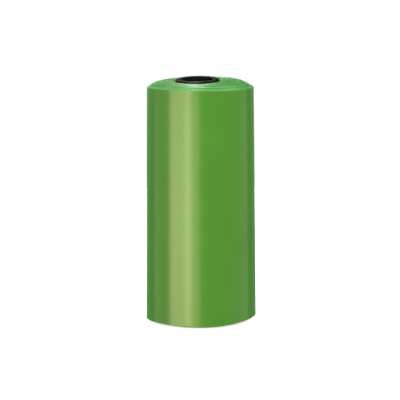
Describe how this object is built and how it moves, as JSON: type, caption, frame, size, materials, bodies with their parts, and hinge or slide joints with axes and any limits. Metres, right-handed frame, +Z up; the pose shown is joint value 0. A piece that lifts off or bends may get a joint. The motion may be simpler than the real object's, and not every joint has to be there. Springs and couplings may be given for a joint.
{
  "type": "roll of dog waste bags",
  "caption": "Refill roll of folded green film bags, wound tight on a dark plastic core tube, standing on its end, with the turns showing on both ends.",
  "frame": {"origin": "centre of the lower end, on the surface that the roll stands on", "axes": "+Z up along the roll's axis, from the dished lower end to the domed end; +X to the right of the picture's view, +Y away from it"},
  "size_m": [0.0285, 0.0285, 0.0625],
  "materials": {
    "bag_film": "satin",
    "core_plastic": "semi-gloss"
  },
  "bodies": {
    "root": {"bag_roll": "bag_film", "core_tube": "core_plastic"}
  },
  "joints": []
}
